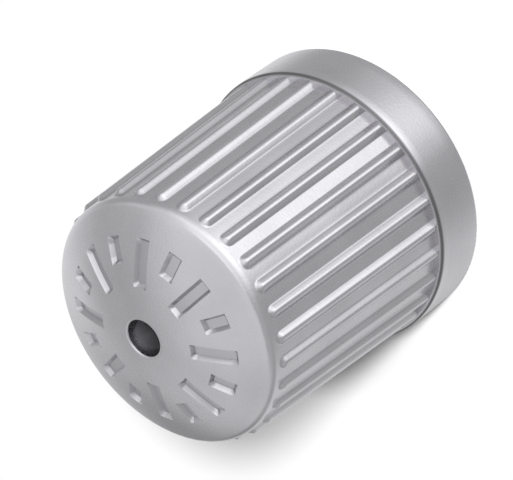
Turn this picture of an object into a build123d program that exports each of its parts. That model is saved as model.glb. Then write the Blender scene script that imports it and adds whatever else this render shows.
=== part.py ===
from build123d import *
import math
import os

# A screw-on tyre valve cap of satin metal: a ribbed, slightly tapered barrel on a plain rim,
# closed by a domed face, with a rubber washer held at the blind end of its threaded bore.
# It stands on its open rim. The origin is the centre of the open end, and +Z runs up the axis.
# All sizes are in millimetres and degrees.

# Threaded bore: 32 threads to the inch on a 7.75 mm valve stem, cut from its minor diameter
bore_diameter = 6.9
thread_depth = 0.45
thread_length = 5.95
mouth_depth = 0.9
mouth_clearance = 0.08
mouth_chamfer = 0.12

# Sealing washer in the relief above the thread
washer_thickness = 1.4
washer_hole_diameter = 3.2
washer_side_clearance = 0.05
washer_end_play = 0.1
washer_edge_chamfer = 0.15

# Barrel and rim
barrel_wall = 0.8
barrel_taper = 2.36
end_wall = 1.45
face_edge_radius = 0.35
dome_rise = 1.09
rim_height = 2.1
rim_step = 0.3
rim_front_chamfer = 0.09
rim_foot_chamfer = 0.12

# Grip ribs with sloped flanks and round crests, a little lower towards the face
rib_count = 31
rib_foot_height = 0.17
rib_top_height = 0.155
rib_flank_slope = 42.0
rib_crest_radius = 0.15
rib_root_depth = 0.06
rib_top_setback = 0.26
rib_end_slope = 45.0

# Drilled centre of the face
centre_hole_diameter = 1.3
centre_hole_depth = 1.2
drill_point_angle = 118.0

# Ring of plain stamped ticks, long and short by turns
tick_count = 16
tick_ring_outer_diameter = 6.6
long_tick_length = 1.45
short_tick_length = 0.75
tick_width = 0.42
tick_depth = 0.15

# Worked out from the sizes above
bore_radius = bore_diameter / 2
relief_radius = bore_radius + thread_depth
mouth_radius = relief_radius + mouth_clearance
thread_start = mouth_depth + mouth_radius - bore_radius
thread_end = thread_start + thread_length
relief_end = thread_end + washer_thickness + washer_end_play
barrel_top = relief_end + end_wall
face_top = barrel_top + dome_rise
barrel_foot_radius = relief_radius + barrel_wall
rim_radius = barrel_foot_radius + rim_step


def barrel_radius(height):
    """Radius of the tapered barrel between its ribs, at a height above the open end."""
    return barrel_foot_radius - (height - rim_height) * math.tan(math.radians(barrel_taper))


dome_edge_radius = barrel_radius(barrel_top)
dome_radius = (dome_edge_radius**2 + dome_rise**2) / (2 * dome_rise)
dome_centre = face_top - dome_radius


def corner(outline, across, height):
    """The outline's corner nearest to a place on the profile plane."""
    place = Vector(across, 0, height)
    return min(outline.vertices(), key=lambda v: (Vector(*v) - place).length)


def outer_form():
    """Rim, tapered barrel and domed face as one turned blank, with its broken edges."""
    axis_foot = (0, 0)
    rim_foot = (rim_radius, 0)
    rim_front = (rim_radius, rim_height)
    barrel_foot = (barrel_foot_radius, rim_height)
    barrel_edge = (dome_edge_radius, barrel_top)
    apex = (0, face_top)
    sides = Polyline(apex, axis_foot, rim_foot, rim_front, barrel_foot, barrel_edge)
    dome = RadiusArc(barrel_edge, apex, -dome_radius)
    outline = Plane.XZ * make_face([sides, dome])
    outline = chamfer(corner(outline, *rim_foot), rim_foot_chamfer)
    outline = chamfer(corner(outline, *rim_front), rim_front_chamfer)
    outline = fillet(corner(outline, *barrel_edge), face_edge_radius)
    return revolve(outline, Axis.Z)


def bore_form():
    """Mouth, cone into the thread, thread bore at its minor diameter, and the washer's relief."""
    outline = Plane.XZ * make_face(
        Polyline(
            (0, 0),
            (mouth_radius + mouth_chamfer, 0),
            (mouth_radius, mouth_chamfer),
            (mouth_radius, mouth_depth),
            (bore_radius, thread_start),
            (bore_radius, thread_end),
            (relief_radius, thread_end),
            (relief_radius, relief_end),
            (0, relief_end),
            close=True,
        )
    )
    return revolve(outline, Axis.Z)


def rib_form():
    """One rib on the +X side: a round-crested wedge along the barrel's slope, cut off aslant near the face."""
    foot_z = rim_height - rim_front_chamfer
    top_z = barrel_top - rib_top_setback
    foot = Vector(barrel_radius(foot_z) + rib_foot_height, 0, foot_z)
    top = Vector(barrel_radius(top_z) + rib_top_height, 0, top_z)
    along = top - foot
    slope = math.radians(rib_flank_slope)
    crest_depth = rib_crest_radius * (1 - math.cos(slope))
    crest_half = rib_crest_radius * math.sin(slope)
    flank_depth = rib_foot_height + rib_root_depth
    flank_half = crest_half + (flank_depth - crest_depth) / math.tan(slope)
    root = rib_foot_height + barrel_wall / 2
    wedge = Polyline(
        (-crest_depth, crest_half),
        (-flank_depth, flank_half),
        (-root, flank_half),
        (-root, -flank_half),
        (-flank_depth, -flank_half),
        (-crest_depth, -crest_half),
    )
    crest = ThreePointArc((-crest_depth, -crest_half), (0, 0), (-crest_depth, crest_half))
    at_foot = Plane(foot, x_dir=(along.Z, 0, -along.X), z_dir=along)
    bar = extrude(at_foot * make_face([wedge, crest]), along.length)
    end_corner = Vector(barrel_radius(top_z), 0, top_z)
    end_normal = Vector(1, 0, 0).rotate(Axis.Y, rib_end_slope - 90)
    return split(bar, Plane(end_corner, z_dir=end_normal), keep=Keep.BOTTOM)


def centre_hole_form():
    """Blind drilled hole with the drill's cone at its bottom."""
    radius = centre_hole_diameter / 2
    bottom = face_top - centre_hole_depth
    point = bottom - radius / math.tan(math.radians(drill_point_angle / 2))
    outline = Plane.XZ * make_face(
        Polyline((0, point), (radius, bottom), (radius, face_top), (0, face_top), close=True)
    )
    return revolve(outline, Axis.Z)


def tick_form():
    """All stamped ticks, with floors that follow the dome at one depth."""
    tall = face_top - barrel_top + tick_depth
    outer = tick_ring_outer_diameter / 2
    ticks = []
    for number in range(tick_count):
        length = short_tick_length if number % 2 else long_tick_length
        outline = Pos(outer - length / 2, 0) * Rectangle(length, tick_width)
        blank = extrude(Pos(0, 0, barrel_top - tick_depth) * outline, tall)
        ticks.append(Rot(0, 0, number * 360 / tick_count) * blank)
    floor = Pos(0, 0, dome_centre) * Sphere(dome_radius - tick_depth)
    return [tick - floor for tick in ticks]


def cap_body():
    """The metal cap in one piece."""
    rib = rib_form()
    ribs = [Rot(0, 0, number * 360 / rib_count) * rib for number in range(rib_count)]
    cap = outer_form() + ribs
    cap = cap - bore_form() - centre_hole_form()
    return cap - tick_form()


def sealing_washer():
    """Flat rubber washer against the blind end of the bore."""
    radius = relief_radius - washer_side_clearance
    blank = Cylinder(radius, washer_thickness) - Cylinder(washer_hole_diameter / 2, washer_thickness)
    edges = blank.edges().filter_by(GeomType.CIRCLE).group_by(SortBy.RADIUS)[-1]
    washer = chamfer(edges, washer_edge_chamfer)
    return Pos(0, 0, relief_end - washer_thickness / 2) * washer


os.makedirs("parts", exist_ok=True)
export_step(cap_body(), "parts/cap_body.step")
export_step(sealing_washer(), "parts/sealing_washer.step")
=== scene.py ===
import math
import bpy
import numpy as np
from mathutils import Matrix, Vector


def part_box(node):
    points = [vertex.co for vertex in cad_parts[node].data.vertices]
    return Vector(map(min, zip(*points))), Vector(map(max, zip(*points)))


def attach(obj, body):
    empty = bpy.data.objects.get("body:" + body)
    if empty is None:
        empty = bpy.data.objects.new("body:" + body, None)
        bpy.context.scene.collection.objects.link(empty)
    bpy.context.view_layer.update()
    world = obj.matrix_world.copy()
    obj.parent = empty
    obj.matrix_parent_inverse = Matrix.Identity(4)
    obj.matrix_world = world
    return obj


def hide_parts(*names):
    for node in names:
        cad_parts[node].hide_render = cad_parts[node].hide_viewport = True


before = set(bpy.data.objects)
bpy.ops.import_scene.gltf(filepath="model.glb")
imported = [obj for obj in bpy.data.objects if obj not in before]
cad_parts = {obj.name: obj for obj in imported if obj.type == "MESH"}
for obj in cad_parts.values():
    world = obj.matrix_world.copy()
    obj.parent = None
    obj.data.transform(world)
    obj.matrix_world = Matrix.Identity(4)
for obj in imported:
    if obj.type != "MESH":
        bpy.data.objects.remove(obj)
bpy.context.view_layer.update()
mm = 0.001
tiny = 1e-6  # slack when places are compared, in millimetres or degrees
print("stage: frame loaded", sorted(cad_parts))


# Helpers for meshes. Profiles are in millimetres, and makePiece scales them to metres

def smoothMax(a, b, k):
    # the larger of a and b; where they cross, the corner is rounded over about k
    return 0.5 * (a + b + np.sqrt((a - b) ** 2 + k * k))


def ramp(x, low, high):
    # 0 below low, 1 above high, and the S-curve 3t^2 - 2t^3 between them
    t = np.clip((x - low) / (high - low), 0.0, 1.0)
    return t * t * (3.0 - 2.0 * t)


def arc(centre, radius, startDeg, endDeg, count):
    # points of a circle's arc in the (radius, height) plane
    turn = np.radians(np.linspace(startDeg, endDeg, count))
    return np.stack([centre[0] + radius * np.cos(turn), centre[1] + radius * np.sin(turn)], 1)


def roundAxis(r, z, turnDeg):
    # points at the distance r from the axis and the height z, turned about the axis
    r, z, turn = np.broadcast_arrays(r, z, np.radians(turnDeg))
    return np.stack([r * np.cos(turn), r * np.sin(turn), z], -1).reshape(-1, 3)


def gridFaces(first, rows, columns):
    # quads of a grid that closes on itself round the axis; they face outwards where the rows
    # run up an outer wall
    row, column = np.meshgrid(np.arange(rows - 1), np.arange(columns), indexing="ij")
    beside = (column + 1) % columns
    quads = np.stack([row * columns + column, row * columns + beside,
                      (row + 1) * columns + beside, (row + 1) * columns + column], -1)
    return (first + quads.reshape(-1, 4)).tolist()


def makePiece(name, points, faces, material, body, node, sharpDeg, marks):
    # a smooth-shaded mesh with its marks, tied to its CAD node, body and material slot
    mesh = bpy.data.meshes.new(name)
    mesh.from_pydata((points * mm).tolist(), [], faces)
    mesh.polygons.foreach_set("use_smooth", np.ones(len(mesh.polygons), dtype=bool))
    mesh.set_sharp_from_angle(angle=math.radians(sharpDeg))
    for label, values in marks.items():
        mark = mesh.attributes.new(label, "FLOAT", "POINT")
        mark.data.foreach_set("value", values.astype(np.float32))
    mesh.materials.append(material)
    mesh.update()
    piece = bpy.data.objects.new(name, mesh)
    bpy.context.scene.collection.objects.link(piece)
    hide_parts(node)
    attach(piece, body)
    print("stage:", name, len(points), "points", len(faces), "faces")


# Helpers for node trees

def fillInputs(tree, node, inputs):
    # a socket is linked to the input, and anything else becomes the input's own value
    for key, value in inputs.items():
        if isinstance(value, bpy.types.NodeSocket):
            tree.links.new(value, node.inputs[key])
        else:
            node.inputs[key].default_value = value


def addNode(tree, kind, inputs=None, **settings):
    made = tree.nodes.new("ShaderNode" + kind)
    for key, value in settings.items():
        setattr(made, key, value)
    fillInputs(tree, made, inputs or {})
    return made


def calc(tree, operation, *values):
    # one step of arithmetic on sockets or numbers
    return addNode(tree, "Math", dict(enumerate(values)), operation=operation).outputs[0]


def spread(tree, value, low, high, outLow=0.0, outHigh=1.0):
    # an S-curve from outLow to outHigh while value goes from low to high
    limits = {"Value": value, "From Min": low, "From Max": high,
              "To Min": outLow, "To Max": outHigh}
    return addNode(tree, "MapRange", limits, interpolation_type="SMOOTHSTEP").outputs["Result"]


def centredNoise(tree, place, size, detail):
    # noise with features of one size, less a half, so that it is centred on zero
    scale = calc(tree, "DIVIDE", 1.0, size)
    noise = addNode(tree, "TexNoise", {"Vector": place, "Scale": scale, "Detail": detail})
    return calc(tree, "SUBTRACT", noise.outputs["Fac"], 0.5)


def newGroup(name, inputs, outputs):
    # an empty group with named sockets: its tree, what it is given, and what it puts out
    tree = bpy.data.node_groups.new(name, "ShaderNodeTree")
    for label, kind, value in inputs:
        socket = tree.interface.new_socket(label, in_out="INPUT", socket_type="NodeSocket" + kind)
        socket.default_value = value
    for label, kind in outputs:
        tree.interface.new_socket(label, in_out="OUTPUT", socket_type="NodeSocket" + kind)
    given = tree.nodes.new("NodeGroupInput").outputs
    return tree, given, tree.nodes.new("NodeGroupOutput").inputs


def useGroup(tree, groupTree, inputs):
    # places a group in a material, with that material's own values
    made = tree.nodes.new("ShaderNodeGroup")
    made.node_tree = groupTree
    fillInputs(tree, made, inputs)
    return made.outputs


# Effects that both finishes share

# the crest gain lightens rubbed crests a little, as a painted highlight
effectSet = dict(fineDetail=2.0, slowDetail=3.0, lineDetail=2.0,
                 crestSheenGain=0.05, crestSmooth=0.06, recessRough=0.2)


def grainGroup():
    # fine grain and a slow change of tone: one small and one large noise
    tree, given, out = newGroup(
        "grain", [("Place", "Vector", (0, 0, 0)), ("Size", "Float", 0.1), ("Patch", "Float", 3.0)],
        [("Height", "Float"), ("Tone", "Float")])
    fine = centredNoise(tree, given["Place"], given["Size"], effectSet["fineDetail"])
    slow = centredNoise(tree, given["Place"], given["Patch"], effectSet["slowDetail"])
    tree.links.new(fine, out["Height"])
    tree.links.new(slow, out["Tone"])
    return tree


def ringGroup():
    # lines round the axis, as a lathe or a mould leaves them: noise of the distance from the axis
    # and the height only
    tree, given, out = newGroup(
        "rings", [("Place", "Vector", (0, 0, 0)), ("Spacing", "Float", 0.08)],
        [("Height", "Float")])
    part = addNode(tree, "SeparateXYZ", {"Vector": given["Place"]}).outputs
    squares = [calc(tree, "MULTIPLY", part[key], part[key]) for key in ("X", "Y")]
    across = calc(tree, "SQRT", calc(tree, "ADD", *squares))
    flat = addNode(tree, "CombineXYZ", {"X": across, "Y": part["Z"]}).outputs[0]
    lines = centredNoise(tree, flat, given["Spacing"], effectSet["lineDetail"])
    tree.links.new(lines, out["Height"])
    return tree


def wearAndPaintedLightGroup():
    # darker and rougher in recesses, a little lighter and smoother on rubbed crests. The darkening
    # is dirt and painted shade, and the lightening is wear and a painted highlight. The colour is
    # mixed with the dark tint by the recess mark, then times 1 + tone + a share of the crest mark.
    # A colour Mix has its factor in socket 0, its colours in 6 and 7, and its result in output 2
    tree, given, out = newGroup(
        "wearAndPaintedLight", [("Color", "Color", (1, 1, 1, 1)), ("DirtShadeTint", "Color", (0, 0, 0, 1)),
                 ("DirtAndShade", "Float", 0.0), ("RubAndSheen", "Float", 0.0), ("Tone", "Float", 0.0),
                 ("Roughness", "Float", 0.4)],
        [("Color", "Color"), ("Roughness", "Float")])
    dark = addNode(tree, "Mix", {0: given["DirtAndShade"], 6: given["Color"], 7: given["DirtShadeTint"]},
                   data_type="RGBA").outputs[2]
    gain = calc(tree, "ADD", calc(tree, "ADD", 1.0, given["Tone"]),
                calc(tree, "MULTIPLY", given["RubAndSheen"], effectSet["crestSheenGain"]))
    grey = addNode(tree, "CombineColor", {0: gain, 1: gain, 2: gain}).outputs[0]
    lit = addNode(tree, "Mix", {0: 1.0, 6: dark, 7: grey}, data_type="RGBA",
                  blend_type="MULTIPLY").outputs[2]
    rougher = calc(tree, "ADD", given["Roughness"],
                   calc(tree, "MULTIPLY", given["DirtAndShade"], effectSet["recessRough"]))
    rough = calc(tree, "SUBTRACT", rougher,
                 calc(tree, "MULTIPLY", given["RubAndSheen"], effectSet["crestSmooth"]))
    tree.links.new(lit, out["Color"])
    tree.links.new(rough, out["Roughness"])
    return tree


grain, rings, wearAndPaintedLight = grainGroup(), ringGroup(), wearAndPaintedLightGroup()


def finishMaterial(name, settings):
    # one recipe for both finishes: rings and grain give the relief, and the wear group gives the
    # roughness and the colour, with dirt, painted shade and a painted highlight in it
    material = bpy.data.materials.new(name)
    material.use_nodes = True
    tree = material.node_tree
    shader = tree.nodes["Principled BSDF"]
    metres = addNode(tree, "TexCoord").outputs["Object"]
    place = addNode(tree, "VectorMath", {0: metres, "Scale": 1 / mm}, operation="SCALE").outputs[0]
    fine = useGroup(tree, grain, {"Place": place, "Size": settings["grainSize"],
                                  "Patch": settings["patchSize"]})
    line = useGroup(tree, rings, {"Place": place, "Spacing": settings["ringSpacing"]})
    # the recess mark darkens the colour towards the dark tint as dirt and painted shade; the crest
    # mark lightens it as wear and a painted highlight
    wornAndPaintedLight = useGroup(tree, wearAndPaintedLight, {
        "Color": settings["color"], "DirtShadeTint": settings["dirtShadeTint"],
        "RubAndSheen": addNode(tree, "Attribute", attribute_name="crest").outputs["Fac"],
        "DirtAndShade": addNode(tree, "Attribute", attribute_name="dirtAndShade").outputs["Fac"],
        "Tone": calc(tree, "MULTIPLY", fine["Tone"], settings["toneChange"]),
        "Roughness": calc(tree, "ADD", settings["roughness"],
                          calc(tree, "MULTIPLY", fine["Height"], settings["roughChange"]))})
    relief = calc(tree, "ADD", calc(tree, "MULTIPLY", fine["Height"], settings["grainHeight"]),
                  calc(tree, "MULTIPLY", line["Height"], settings["ringHeight"]))
    bump = addNode(tree, "Bump", {"Height": relief, "Distance": mm, "Strength": 1.0})
    tree.links.new(wornAndPaintedLight["Color"], shader.inputs["Base Color"])
    tree.links.new(wornAndPaintedLight["Roughness"], shader.inputs["Roughness"])
    tree.links.new(bump.outputs[0], shader.inputs["Normal"])
    shader.inputs["Metallic"].default_value = settings["metallic"]
    return material


# the metal's dark tint is the colour of dirt and painted shade in its recesses; the rubber's,
# lighter than the rubber, marks its seat groove
satinMetal = finishMaterial("satinMetal", dict(
    color=(0.62, 0.612, 0.639, 1), dirtShadeTint=(0.147, 0.143, 0.147, 1), metallic=1.0,
    roughness=0.27, roughChange=0.10, grainSize=0.09, grainHeight=0.0025,
    patchSize=1.6, toneChange=0.22, ringSpacing=0.05, ringHeight=0.0007))
blackRubber = finishMaterial("blackRubber", dict(
    color=(0.022, 0.022, 0.023, 1), dirtShadeTint=(0.09, 0.085, 0.08, 1), metallic=0.0,
    roughness=0.62, roughChange=0.2, grainSize=0.09, grainHeight=0.01,
    patchSize=1.5, toneChange=0.5, ringSpacing=0.2, ringHeight=0.004))
print("stage: materials made")


# The metal cap

capLow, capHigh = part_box("cap_body")
capSet = dict(
    rimInset=0.002,  # keeps the round rim inside the CAD's flats
    rimHeight=2.1, rimStep=0.30, rimChamfer=0.06, rimCorner=0.02, rimEase=0.022, easeStart=1.64,
    footRound=0.12,
    barrelFoot=4.70, taperDeg=2.36, barrelTop=10.33, domeRise=1.09, edgeRound=0.35,
    ribCount=31, ribSlopeDeg=42, ribRound=0.15, ribRoot=0.05,
    ribFootHeight=0.17, ribTopHeight=0.155, ribEnd=10.07,
    holeRadius=0.65, holeBottom=10.22, holeTip=9.83, holeRound=0.07, lipStartDeg=92,
    tickCount=16, tickReach=3.6, tickOuter=3.30, longInner=1.85, shortInner=2.55,
    tickHalf=0.21, tickDepth=0.15, tickWall=0.05, leanFrom=3.4, leanTo=4.15,
    mouthEdge=4.10, mouthRadius=3.98, mouthChamfer=0.12, mouthDepth=0.9, mouthEase=0.02,
    edgeRise=0.012, boreRadius=3.45, reliefRadius=3.90, reliefEnd=8.88, reliefCorner=0.08,
    threadStart=1.0, threadEnd=7.38, threadPitch=0.79375, crestShare=0.22, rootShare=0.88,
    threadCorner=0.01, coneCorner=0.07, endGap=0.012,
    # where the grid's columns and rows lie: degrees, millimetres, shares of a length, or a count
    nearRib=(0.0, 0.6, 1.05, 1.3, 1.9, 2.5, 2.75, 3.0, 3.3, 4.2), skip=4,
    endRows=(1.2, 2.6), reliefRow=8.2, reliefGap=0.03, flankRows=6, mouthRow=0.5,
    footRow=4.5, footRows=7, rimRows=(0.5, 1.0, 1.5), easeRows=10,
    shoulderRows=(0.0, 0.08, 0.2, 0.27, 0.31, 0.36, 0.5, 0.65, 0.78, 0.86, 0.93, 1.0),
    lowRows=(0.003, 0.008, 0.014, 0.03, 0.06), midRows=(0.12, 0.92, 12), highRows=(0.935, 1.0, 15),
    edgeRows=12, domeRows=(4.0, 3.85, 3.7, 3.5, 3.42, 3.1, 2.9, 2.75, 2.35, 2.15, 2.0, 1.65, 1.45,
                           1.25, 1.05, 0.9, 0.8),
    lipRows=7, holeRows=(11.1, 10.8, 10.5), coneRows=((0.45, 10.1), (0.2, 9.95)), sharpDeg=40,
    # marks for the finish: strengths, and the limits between which they come in
    # crest marks: rubbed wear, made lighter as a painted highlight
    rimRubAndSheen=0.1, ribRubAndSheen=(0.10, 0.18), edgeRubAndSheenFrom=4.12, edgeRubAndSheen=0.6,
    # recess marks: dirt and painted shade at the ribs' roots and in the ticks; painted shade at the
    # corner above the shoulder, the rim's dark line, in the hole and the bore, at the hole's tip
    # and the blind end
    rootDirtShade=0.2, rootLift=0.03, rootLowest=0.0005, cornerShade=0.1, cornerHeight=0.05,
    rimShade=0.9, rimShadeIn=(0.05, 0.11), rimShadeDown=(0.12, 0.04),
    tickDirtShade=0.2, holeShade=0.46, holeShadeTop=11.40, holeShadeDepth=(0.25, 0.7), holeReach=0.66,
    tipShade=0.9, threadShade=0.4, threadShadeFrom=(1.0, 1.6), endShade=0.5)
capSet["rimRadius"] = min(-capLow.x, capHigh.x, -capLow.y, capHigh.y) / mm - capSet["rimInset"]


def barrelRadius(z):
    # straight taper from the shoulder up
    s = capSet
    return s["barrelFoot"] - (z - s["rimHeight"]) * math.tan(math.radians(s["taperDeg"]))


def domeCircle():
    # the arc over the barrel's top edge: radius from half its chord and its rise, and the
    # height of its centre
    s = capSet
    half = barrelRadius(s["barrelTop"])
    radius = (half ** 2 + s["domeRise"] ** 2) / (2 * s["domeRise"])
    return radius, s["barrelTop"] + s["domeRise"] - radius


def faceEdge():
    # centre of the rounding between barrel and dome: it lies edgeRound inside both, so it is where
    # the barrel's line, moved inwards, crosses the dome's circle, made smaller
    s = capSet
    domeRadius, domeCentre = domeCircle()
    slope = math.tan(math.radians(s["taperDeg"]))
    base = barrelRadius(0.0) - s["edgeRound"] / math.cos(math.radians(s["taperDeg"]))
    square = 1 + slope ** 2
    linear = -2 * (base * slope + domeCentre)
    rest = base ** 2 + domeCentre ** 2 - (domeRadius - s["edgeRound"]) ** 2
    z = (-linear + math.sqrt(linear * linear - 4 * square * rest)) / (2 * square)
    return base - slope * z, z


def shoulderHeight(r):
    # the lower of the rim's sloped front edge and the flat shoulder, with a rounded corner
    # between them
    s = capSet
    slope = s["rimHeight"] - s["rimChamfer"] + s["rimRadius"] - s["rimEase"] - r
    return -smoothMax(-slope, -s["rimHeight"], s["rimCorner"])


def ribHeight(offDeg, z):
    # a round crest, a straight flank at ribSlopeDeg and a hollow root, each tangent to the next;
    # the free end is the same section turned about the rib's last point. away is the distance
    # from the rib's middle line, or from that point
    s = capSet
    lean = math.radians(s["ribSlopeDeg"])
    share = np.clip((z - s["rimHeight"]) / (s["ribEnd"] - s["rimHeight"]), 0.0, 1.0)
    height = s["ribFootHeight"] + share * (s["ribTopHeight"] - s["ribFootHeight"])
    both = s["ribRound"] + s["ribRoot"]
    flank = (height - both * (1.0 - math.cos(lean))) / math.tan(lean)
    crestEnd = s["ribRound"] * math.sin(lean)
    width = both * math.sin(lean) + flank
    past = np.maximum(z - (s["ribEnd"] - width), 0.0)
    away = np.hypot(np.radians(offDeg) * barrelRadius(z), past)
    crest = height - s["ribRound"] + np.sqrt(np.maximum(s["ribRound"] ** 2 - away * away, 0.0))
    side = height - s["ribRound"] * (1.0 - math.cos(lean)) - (away - crestEnd) * math.tan(lean)
    hollow = s["ribRoot"] - np.sqrt(np.maximum(s["ribRoot"] ** 2 - (width - away) ** 2, 0.0))
    foot = np.where(away < width, hollow, 0.0)
    return np.where(away < crestEnd, crest, np.where(away < crestEnd + flank, side, foot))


def threadRadius(z, turnDeg):
    # right-hand thread: a flat-topped wave of height and turn, from the bore's radius out to the
    # relief's; its first turn grows from nothing
    s = capSet
    wave = np.abs(((z / s["threadPitch"] - turnDeg / 360.0) % 1.0) - 0.5) * 2.0
    grown = ramp(z, s["threadStart"], s["threadStart"] + s["threadPitch"])
    depth = (s["reliefRadius"] - s["boreRadius"]) * grown
    return s["boreRadius"] + depth * ramp(wave, s["crestShare"], s["rootShare"])


def boreWall(z, turnDeg):
    # the wider of the thread and the cone that leads into it from the mouth, with a corner where
    # they cross that is rounder before the thread has grown
    s = capSet
    cone = np.maximum(s["mouthRadius"] - (z - s["mouthDepth"]), s["boreRadius"])
    grown = ramp(z, s["threadStart"], s["threadStart"] + s["threadPitch"])
    corner = s["threadCorner"] + s["coneCorner"] * (1.0 - grown)
    return smoothMax(cone, threadRadius(z, turnDeg), corner)


def threadGrid(turns, highFirst, lowFirst, freeFirst):
    # rows that climb with the thread: a row's height is the pitch times its phase plus the turn,
    # so after one turn it meets the row one pitch above. Points past the thread's ends are those
    # of a level ring, and the quads that close up on a ring become triangles or go
    s = capSet
    low, high, gap, pitch = s["mouthDepth"], s["threadEnd"], s["endGap"], s["threadPitch"]
    flanks = np.linspace(s["crestShare"], s["rootShare"], s["flankRows"])
    half = 0.5 * np.concatenate([[0.0], flanks])
    phase = np.concatenate([[0.0], 0.5 - half[:0:-1], 0.5 + half])
    perTurn = len(phase)
    pitches = np.arange(math.floor(low / pitch) - 2, math.ceil(high / pitch) + 2)
    climb = pitch * ((pitches[:, None] + phase).reshape(-1, 1) + turns / 360.0)
    free = (climb > low + gap) & (climb < high - gap)
    ring = np.where(climb < 0.5 * (low + high), lowFirst, highFirst) + np.arange(len(turns))
    number = np.where(free, freeFirst + np.cumsum(free).reshape(free.shape) - 1, ring)
    here = number[:-perTurn]
    beside = np.concatenate([here[:, 1:], number[perTurn:, :1]], 1)
    quads = np.stack([here[:-1], here[1:], beside[1:], beside[:-1]], -1).reshape(-1, 4)
    merged = quads == np.roll(quads, -1, axis=1)
    times = merged.sum(1)
    triangles = quads[times == 1][~merged[times == 1]].reshape(-1, 3)
    faces = quads[times == 0].tolist() + triangles.tolist()
    return climb[free], np.broadcast_to(turns, climb.shape)[free], faces


def boreGrid(turns, first):
    # the inside, from round the middle of the blind end down to the mouth: level rings in the
    # relief and the mouth, and the thread's climbing rows between the nearest two. The thread's
    # own points come last. Gives also the first point of the mouth's edge
    s = capSet
    n, wide, end = len(turns), s["reliefRadius"], s["reliefEnd"]
    corner, ease, edge = s["reliefCorner"], s["mouthEase"], s["mouthRadius"]
    relief = np.array([(r, end) for r in s["endRows"]] + [
        (wide - corner, end), (wide, end - corner), (wide, s["reliefRow"]),
        (wide, s["threadEnd"] + s["reliefGap"])])
    mouth = np.array([
        (edge, s["mouthRow"]), (edge, s["mouthChamfer"] + ease),
        (edge + ease, s["mouthChamfer"] - ease), (s["mouthEdge"] - ease, s["edgeRise"]),
        (s["mouthEdge"], 0.0)])
    lowFirst = first + (len(relief) + 1) * n
    freeFirst = lowFirst + (len(mouth) + 1) * n
    freeZ, freeTurn, threadFaces = threadGrid(turns, lowFirst - n, lowFirst, freeFirst)
    ringZ = np.repeat([s["threadEnd"], s["mouthDepth"]], n)
    ringR = boreWall(ringZ, np.tile(turns, 2))
    r = np.concatenate([np.repeat(relief[:, 0], n), ringR, np.repeat(mouth[:, 0], n),
                        boreWall(freeZ, freeTurn)])
    z = np.concatenate([np.repeat(relief[:, 1], n), ringZ, np.repeat(mouth[:, 1], n), freeZ])
    turn = np.concatenate([np.tile(turns, len(relief) + len(mouth) + 2), freeTurn])
    faces = gridFaces(first, len(relief) + 1, n) + threadFaces
    faces += gridFaces(lowFirst, len(mouth) + 1, n)
    return r, z, turn, faces, freeFirst - n


def ribColumns():
    # the columns' angles, closest together on the flanks of each rib, and how far each is from
    # the middle of the nearest rib
    s = capSet
    pitch = 360.0 / s["ribCount"]
    near = np.array(s["nearRib"])
    step = np.concatenate([near, [pitch / 2], pitch - near[:0:-1]])
    turn = (np.arange(s["ribCount"])[:, None] * pitch + step).ravel()
    return turn, (turn + pitch / 2) % pitch - pitch / 2


def rimProfile():
    # from the mouth's edge round the foot and up; the wall draws in before the sloped edge, by the
    # square of the height above easeStart
    s = capSet
    inFoot = (s["rimRadius"] - s["footRound"], s["footRound"])
    rise = np.linspace(0.0, 1.0, s["easeRows"], endpoint=False)
    easeLength = s["rimHeight"] - s["rimChamfer"] - s["easeStart"]
    eased = np.stack([s["rimRadius"] - s["rimEase"] * rise ** 2,
                      s["easeStart"] + rise * easeLength], 1)
    return np.concatenate([
        [(s["mouthEdge"] + 2 * s["mouthEase"], 0.0), (s["footRow"], 0.0)],
        arc(inFoot, s["footRound"], -90, 0, s["footRows"]),
        [(s["rimRadius"], z) for z in s["rimRows"]], eased])


def faceProfile():
    # the rounded edge of the face, the dome's arc, and the drilled hole with its lip and cone; the
    # dome has a row on each side of a tick's ends
    s = capSet
    domeRadius, domeCentre = domeCircle()
    edgeR, edgeZ = faceEdge()
    edgeEnd = math.degrees(math.atan2(edgeZ - domeCentre, edgeR))
    edge = arc((edgeR, edgeZ), s["edgeRound"], s["taperDeg"], edgeEnd, s["edgeRows"])[1:]
    ends = [s[key] + side for key in ("tickOuter", "shortInner", "longInner")
            for side in (-s["tickWall"], s["tickWall"])]
    domeR = np.sort(list(s["domeRows"]) + ends)[::-1]
    dome = np.stack([domeR, domeCentre + np.sqrt(domeRadius ** 2 - domeR ** 2)], 1)
    lipR = s["holeRadius"] + s["holeRound"]
    lipZ = domeCentre + math.sqrt(domeRadius ** 2 - lipR ** 2) - s["holeRound"]
    lip = arc((lipR, lipZ), s["holeRound"], s["lipStartDeg"], 180, s["lipRows"])
    wall = [(s["holeRadius"], z) for z in s["holeRows"] + (s["holeBottom"],)]
    return np.concatenate([edge, dome, lip, wall, s["coneRows"]])


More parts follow.
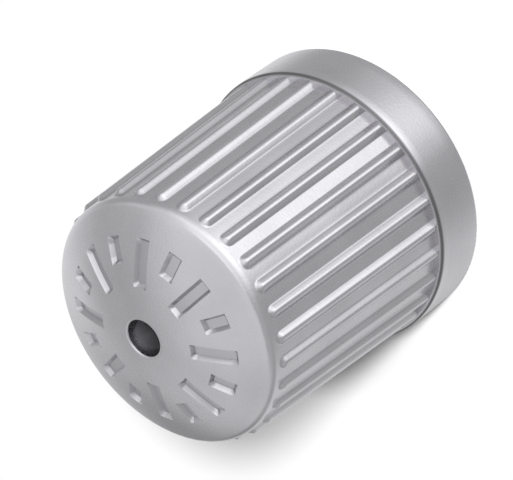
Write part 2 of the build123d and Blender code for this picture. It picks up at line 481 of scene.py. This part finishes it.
def leanToTicks(turn, r):
    # the columns lean on the dome: on each side of a tick, the last column within tickReach
    # follows the foot of its wall, the next one follows the top, and those between two ticks share
    # the room that is left. Gives each point's angle, and 1 where it is on the floor of a tick
    s = capSet
    pitch, sides = 360.0 / s["tickCount"], 2 * s["tickCount"]
    number = np.round(turn / pitch).astype(int)
    fromTick = turn - number * pitch
    size, half = np.abs(fromTick), pitch / 2
    flank = (number % s["tickCount"]) * 2 + (fromTick >= 0)
    foot, top = np.zeros(sides), np.full(sides, half)
    np.maximum.at(foot, flank, np.where(size <= s["tickReach"], size, 0.0))
    np.minimum.at(top, flank, np.where(size > s["tickReach"], size, half))
    foot, top = foot[flank], top[flank]
    reach = np.maximum(r, s["longInner"])
    footDeg = np.degrees((s["tickHalf"] - s["tickWall"]) / reach)
    topDeg = np.degrees((s["tickHalf"] + s["tickWall"]) / reach)
    led = np.where(size <= foot, size * footDeg / foot, np.where(
        size <= top, footDeg + (size - foot) * (topDeg - footDeg) / (top - foot),
        topDeg + (size - top) * (half - topDeg) / (half - top)))
    use = 1.0 - ramp(r, s["leanFrom"], s["leanTo"])
    inner = np.where(number % 2 == 0, s["longInner"], s["shortInner"])
    sunk = (size <= foot + tiny) & (r < s["tickOuter"]) & (r > inner)
    return turn + use * (np.sign(fromTick) * (led - size)), sunk.astype(float)


def outerMarks(rimZ, shoulderR, above, lift, face, sunk):
    # crest is where hands rub the metal, made a little lighter as a painted highlight: the rim's
    # upper edge, the ribs and the face's edge. recess is dirt and painted shade: painted shade at
    # the rim's edge, the corner above the shoulder and in the hole, and dirt and painted shade in a
    # bell curve of the height at the ribs' roots and in the ticks
    s = capSet
    full = np.ones(lift.shape[1])
    rimRubSheen = ramp(rimZ, s["easeStart"], s["easeStart"] + s["rimRubAndSheen"]) * full
    ribRubSheen = ramp(lift, *s["ribRubAndSheen"])
    edgeRubSheen = np.where(face[:, :1] > s["edgeRubAndSheenFrom"], s["edgeRubAndSheen"], 0.0) * full
    crest = np.concatenate([rimRubSheen, np.zeros(shoulderR.shape), ribRubSheen, edgeRubSheen])
    rimTop = s["rimHeight"] - s["rimChamfer"]
    below = [rimTop - down for down in s["rimShadeDown"]]
    rimPaintedShade = s["rimShade"] * ramp(rimZ, *below) * full
    inside = s["rimRadius"] - shoulderR
    shoulderPaintedShade = s["rimShade"] * (1.0 - ramp(inside, *s["rimShadeIn"]))
    root = np.exp(-((lift - s["rootLift"]) / s["rootLift"]) ** 2) * (lift > s["rootLowest"])
    lowCorner = 1.0 - ramp(above, 0.0, s["cornerHeight"])
    barrelDirtAndShade = np.maximum(s["rootDirtShade"] * root, s["cornerShade"] * lowCorner)
    inHole = face[:, :1] < s["holeReach"]
    deep = ramp(s["holeShadeTop"] - face[:, 1:], *s["holeShadeDepth"]) * inHole
    faceDirtAndShade = np.maximum(s["tickDirtShade"] * sunk, s["holeShade"] * deep * full)
    dirtAndShade = np.concatenate([rimPaintedShade, shoulderPaintedShade, barrelDirtAndShade, faceDirtAndShade])
    return crest.ravel(), dirtAndShade.ravel()


def buildCap():
    # a grid of rows round the axis, from the blind end of the bore through the mouth, up the
    # outside and down to the tip of the drilled hole; the inside has every fourth column only
    s = capSet
    turn, off = ribColumns()
    columns = len(turn)
    coarse = turn[::s["skip"]]
    n = len(coarse)
    inFirst = 1
    inR, inZ, inTurn, inFaces, mouthFirst = boreGrid(coarse, inFirst)
    rim = rimProfile()

    # shoulder, which ends where each rib's foot stands on it, and the barrel above that
    atFoot = ribHeight(off, np.full(columns, s["rimHeight"]))
    share = np.array(s["shoulderRows"])[:, None]
    stepWidth = s["rimStep"] - s["rimEase"] - s["rimInset"] - atFoot
    shoulderR = s["rimRadius"] - s["rimEase"] - share * stepWidth
    shoulderZ = shoulderHeight(shoulderR)
    barrelEnd = faceEdge()[1] + s["edgeRound"] * math.sin(math.radians(s["taperDeg"]))
    rows = np.concatenate([s["lowRows"], np.linspace(*s["midRows"]), np.linspace(*s["highRows"])])
    above = rows[:, None] * (barrelEnd - shoulderZ[-1])
    barrelZ = shoulderZ[-1] + above
    lift = ribHeight(off, barrelZ)
    barrelR = barrelRadius(barrelZ) + lift

    # face, with the ticks sunk along the dome's normal
    face = faceProfile()
    faceTurn, sunk = leanToTicks(turn, face[:, :1])
    tilt = np.arcsin(np.clip(face[:, :1] / domeCircle()[0], 0.0, 1.0))
    faceR = face[:, :1] - sunk * s["tickDepth"] * np.sin(tilt)
    faceZ = face[:, 1:] - sunk * s["tickDepth"] * np.cos(tilt)

    full = np.ones(columns)
    outR = np.concatenate([rim[:, :1] * full, shoulderR, barrelR, faceR])
    outZ = np.concatenate([rim[:, 1:] * full, shoulderZ, barrelZ, faceZ])
    straight = np.broadcast_to(turn, (len(outR) - len(face), columns))
    outTurn = np.concatenate([straight, faceTurn])
    points = np.concatenate([[(0.0, 0.0, s["reliefEnd"])], roundAxis(inR, inZ, inTurn),
                             roundAxis(outR, outZ, outTurn), [(0.0, 0.0, s["holeTip"])]])

    # a fan closes the blind end, five outer points meet two inner ones at the mouth's edge, and
    # a fan closes the tip of the hole
    outFirst = inFirst + inR.size
    tipFirst = outFirst + outR.size - columns
    j, i = np.arange(n), np.arange(columns)
    beside = (j + 1) % n
    faces = np.stack([np.zeros(n, int), inFirst + beside, inFirst + j], 1).tolist() + inFaces
    faces += gridFaces(outFirst, len(outR), columns)
    outer = [outFirst + (s["skip"] * j + m) % columns for m in range(s["skip"], -1, -1)]
    faces += np.stack([mouthFirst + j, mouthFirst + beside] + outer, 1).tolist()
    tip = np.full(columns, len(points) - 1)
    faces += np.stack([tipFirst + i, tipFirst + (i + 1) % columns, tip], 1).tolist()

    outCrest, outDirtAndShade = outerMarks(rim[:, 1:], shoulderR, above, lift, face, sunk)
    # inside the bore the thread's grooves darken with their depth, and the blind end and the hole's
    # tip are dark: painted shade
    groove = np.clip((inR - s["boreRadius"]) / (s["reliefRadius"] - s["boreRadius"]), 0.0, 1.0)
    inPaintedShade = groove * s["threadShade"] * ramp(inZ, *s["threadShadeFrom"])
    marks = {"crest": np.concatenate([[0.0], np.zeros(inR.size), outCrest, [0.0]]),
             "dirtAndShade": np.concatenate([[s["endShade"]], inPaintedShade, outDirtAndShade, [s["tipShade"]]])}
    makePiece("capBody", points, faces, satinMetal, "root", "cap_body",
              s["sharpDeg"], marks)


buildCap()


# The rubber washer against the blind end

washerLow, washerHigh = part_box("sealing_washer")
washerSet = dict(
    sideInset=0.002, topInset=0.004, inner=1.6, outerRound=0.15, innerRound=0.08,
    seatRadius=2.55, seatWidth=0.14, seatDepth=0.05, seatDirt=0.8,
    columns=120, flatRows=24, outerRows=6, innerRows=5, lastDeg=269, sharpDeg=50)


def buildWasher():
    # a ring whose section is a rectangle with rounded corners; the valve stem's end has left a
    # shallow groove in its lower face, a bell curve of the distance from seatRadius
    s = washerSet
    low, high = washerLow.z / mm, washerHigh.z / mm - s["topInset"]
    o, i, columns = s["outerRound"], s["innerRound"], s["columns"]
    outR, inR = washerHigh.x / mm - s["sideInset"] - o, s["inner"] + i  # centres of the roundings
    flat = np.stack([np.linspace(inR, outR, s["flatRows"]), np.full(s["flatRows"], low)], 1)
    path = np.concatenate([
        flat[:-1], arc((outR, low + o), o, -90, 0, s["outerRows"]),
        arc((outR, high - o), o, 0, 90, s["outerRows"]),
        arc((inR, high - i), i, 90, 180, s["innerRows"]),
        arc((inR, low + i), i, 180, s["lastDeg"], s["innerRows"])])
    under = path[:, 1] < low + tiny
    groove = np.exp(-((path[:, 0] - s["seatRadius"]) / s["seatWidth"]) ** 2) * under
    path[:, 1] += s["seatDepth"] * groove
    j = np.arange(columns)
    points = roundAxis(path[:, :1], path[:, 1:], j * 360.0 / columns)
    beside, end = (j + 1) % columns, (len(path) - 1) * columns
    faces = gridFaces(0, len(path), columns)
    faces += np.stack([end + j, end + beside, beside, j], 1).tolist()
    marks = {"crest": np.zeros(len(points)), "dirtAndShade": np.repeat(groove, columns) * s["seatDirt"]}
    makePiece("sealingWasher", points, faces, blackRubber, "root", "sealing_washer",
              s["sharpDeg"], marks)


buildWasher()


# Camera, as read from the photo: theta is the angle between the axis and the line of sight, phi the
# lean of the axis in the picture, and spin turns the ribs to the photo's places

viewSet = dict(thetaDeg=49.5, phiDeg=36.4, spinDeg=176.64, aimHeight=6.0, distance=90.0,
               lens=193.2, sensor=36.0, clipStart=0.005, shiftX=0.01606, shiftY=0.0421)
theta, phi, spin = (math.radians(viewSet[key]) for key in ("thetaDeg", "phiDeg", "spinDeg"))
sideWays = Vector((math.cos(spin), math.sin(spin), 0))
forward = Vector((-math.sin(spin), math.cos(spin), 0))
axis = Vector((0, 0, 1))
downAxis = math.cos(theta) * forward - math.sin(theta) * axis  # as the picture shows it
right = math.sin(phi) * sideWays + math.cos(phi) * downAxis
up = -math.cos(phi) * sideWays + math.sin(phi) * downAxis
back = math.sin(theta) * forward + math.cos(theta) * axis
camera = bpy.data.objects.new("camera", bpy.data.cameras.new("camera"))
camera.data.lens = viewSet["lens"]
camera.data.sensor_width = viewSet["sensor"]
camera.data.shift_x, camera.data.shift_y = viewSet["shiftX"], viewSet["shiftY"]
camera.data.clip_start = viewSet["clipStart"]
spot = (axis * viewSet["aimHeight"] + back * viewSet["distance"]) * mm
camera.matrix_world = Matrix.Translation(spot) @ Matrix((right, up, back)).transposed().to_4x4()
bpy.context.scene.collection.objects.link(camera)
bpy.context.scene.camera = camera
print("stage: camera set")


# Floor, two far lamps and surroundings. Angles are counted from the photo's own right-hand
# direction, before the spin. The cap's sides mirror what lies below the horizon, so the floor stays
# out of reflections and the surroundings show there

lightSet = dict(floorTone=0.94, floorRough=0.9, floorHalf=3.0, lampSpreadDeg=7.0,
                base=0.48, roomLevel=0.21, backdrop=0.95, dotLimit=0.9999)
lamps = dict(front=(98.4, 39, 2.80), high=(103, 60, 1.10))  # azimuth, height, strength
# azimuth: middle, half width (over 180 is all round) and softness in degrees; added brightness;
# height as a sine: where it rises, from and to, and where it falls, from and to
patches = dict(
    strip=(102, 22, 18, 0.80, -0.95, -0.50, -0.20, 0.50),
    stripSide=(118, 36, 18, 0.52, -0.80, -0.55, -0.20, 0.50),
    rightSide=(-28, 36, 30, 0.30, -2.0, -1.9, -0.30, -0.10),
    lowLeft=(248, 22, 20, 0.46, -2.0, -1.9, 0.15, 0.45),
    above=(0, 400, 1, 0.05, 0.15, 0.40, 2.0, 2.1),
    zenith=(0, 400, 1, 0.32, 0.75, 0.95, 2.0, 2.1),
    highRight=(320, 40, 15, 0.19, 0.20, 0.45, 0.80, 0.95),
    highFront=(118, 42, 24, 0.70, -0.20, 0.30, 0.88, 0.97),
    lowDark=(292, 28, 14, -0.155, -0.35, -0.10, 0.12, 0.30),
    highLeft=(186, 22, 14, 0.24, 0.25, 0.50, 0.88, 0.96))


def toward(azimuthDeg, heightDeg=0.0):
    # the direction at an azimuth and a height above the horizon
    azimuth, height = math.radians(azimuthDeg), math.radians(heightDeg)
    level = sideWays * math.cos(azimuth) + forward * math.sin(azimuth)
    return level * math.cos(height) + axis * math.sin(height)


def buildFloor():
    # a flat pale square, level with the rim's foot
    half, tone = lightSet["floorHalf"], lightSet["floorTone"]
    corners = [(-half, -half, 0), (half, -half, 0), (half, half, 0), (-half, half, 0)]
    mesh = bpy.data.meshes.new("floor")
    mesh.from_pydata(corners, [], [(0, 1, 2, 3)])
    material = bpy.data.materials.new("floorPaint")
    material.use_nodes = True
    shader = material.node_tree.nodes["Principled BSDF"]
    shader.inputs["Base Color"].default_value = (tone, tone, tone, 1)
    shader.inputs["Roughness"].default_value = lightSet["floorRough"]
    shader.inputs["Specular IOR Level"].default_value = 0.0
    mesh.materials.append(material)
    floor = bpy.data.objects.new("floor", mesh)
    bpy.context.scene.collection.objects.link(floor)
    floor.visible_glossy = False
    floor.visible_shadow = False


def buildLamp(name, azimuthDeg, heightDeg, strength):
    # a far lamp for the floor and its soft shadow; the metal mirrors only the surroundings
    lamp = bpy.data.objects.new(name, bpy.data.lights.new(name, "SUN"))
    lamp.data.angle = math.radians(lightSet["lampSpreadDeg"])
    lamp.data.energy = strength
    lamp.rotation_euler = toward(azimuthDeg, heightDeg).to_track_quat("Z", "Y").to_euler()
    lamp.visible_camera = False
    lamp.visible_glossy = False
    bpy.context.scene.collection.objects.link(lamp)


def buildWorld():
    # brightness by direction: a base level and a few soft-edged patches. A patch is an S-curve of
    # the angle to its middle, times S-curves of the direction's height
    world = bpy.data.worlds.new("surroundings")
    bpy.context.scene.world = world
    world.use_nodes = True
    tree = world.node_tree
    way = addNode(tree, "TexCoord").outputs["Generated"]
    part = addNode(tree, "SeparateXYZ", {"Vector": way}).outputs
    level = addNode(tree, "CombineXYZ", {"X": part["X"], "Y": part["Y"]}).outputs[0]
    flat = addNode(tree, "VectorMath", {0: level}, operation="NORMALIZE").outputs[0]
    total = lightSet["base"]
    for middle, half, soft, gain, riseFrom, riseTo, fallFrom, fallTo in patches.values():
        mask = calc(tree, "MULTIPLY", spread(tree, part["Z"], riseFrom, riseTo),
                    spread(tree, part["Z"], fallFrom, fallTo, 1.0, 0.0))
        if half < 180:
            near = addNode(tree, "VectorMath", {0: flat, 1: toward(middle)},
                           operation="DOT_PRODUCT").outputs["Value"]
            away = calc(tree, "ARCCOSINE", calc(tree, "MULTIPLY", near, lightSet["dotLimit"]))
            sides = spread(tree, away, math.radians(half - soft), math.radians(half + soft),
                           1.0, 0.0)
            mask = calc(tree, "MULTIPLY", mask, sides)
        total = calc(tree, "ADD", total, calc(tree, "MULTIPLY", mask, gain))
    # the patches are what the metal mirrors; the floor is lit by an even low level, and the far
    # background is pale
    ray = addNode(tree, "LightPath").outputs
    plain = calc(tree, "ADD", calc(tree, "MULTIPLY", ray["Is Diffuse Ray"], lightSet["roomLevel"]),
                 calc(tree, "MULTIPLY", ray["Is Camera Ray"], lightSet["backdrop"]))
    total = calc(tree, "ADD", plain, calc(tree, "MULTIPLY", ray["Is Glossy Ray"], total))
    tree.links.new(total, tree.nodes["Background"].inputs["Strength"])
    tree.nodes["Background"].inputs["Color"].default_value = (1, 1, 1, 1)


buildFloor()
for name, settings in lamps.items():
    buildLamp(name, *settings)
buildWorld()
bpy.context.scene.view_settings.view_transform = "Standard"
print("stage: floor, lamps and surroundings set")
